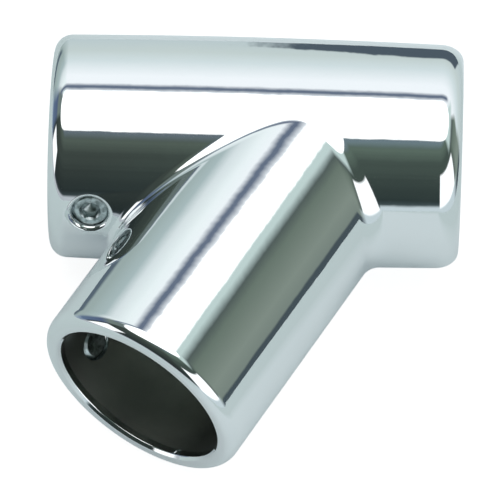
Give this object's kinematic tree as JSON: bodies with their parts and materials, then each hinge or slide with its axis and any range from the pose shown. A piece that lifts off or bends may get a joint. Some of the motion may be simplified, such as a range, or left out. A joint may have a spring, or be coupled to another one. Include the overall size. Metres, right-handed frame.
{
  "type": "boat rail tee fitting",
  "caption": "Polished stainless 60 degree tee for round boat rail: through bore, angled blind socket and hex socket set screws that clamp the tubes.",
  "frame": {"origin": "where the axis of the run bore and the axis of the branch socket cross", "axes": "+X along the run, away from the corner that the branch leans into; the branch lies in the X-Y plane and points to -X and -Y at 60 degrees to the run; +Z square to that plane"},
  "size_m": [0.0573, 0.0636, 0.032],
  "materials": {
    "polished_stainless": "polished",
    "screw_steel": "satin"
  },
  "bodies": {
    "casting": {"tee_body": "polished_stainless"},
    "run_screw": {"run_set_screw": "screw_steel"},
    "branch_screw": {"branch_set_screw": "screw_steel"}
  },
  "joints": [
    {"name": "run_screw_drive", "type": "slide", "parent": "casting", "child": "run_screw", "axis": [0, 0.9336, -0.3584], "range_m": [-0.0008, 0.0016]},
    {"name": "branch_screw_drive", "type": "slide", "parent": "casting", "child": "branch_screw", "axis": [0.7784, -0.4494, 0.4384], "range_m": [-0.0008, 0.0016]}
  ]
}
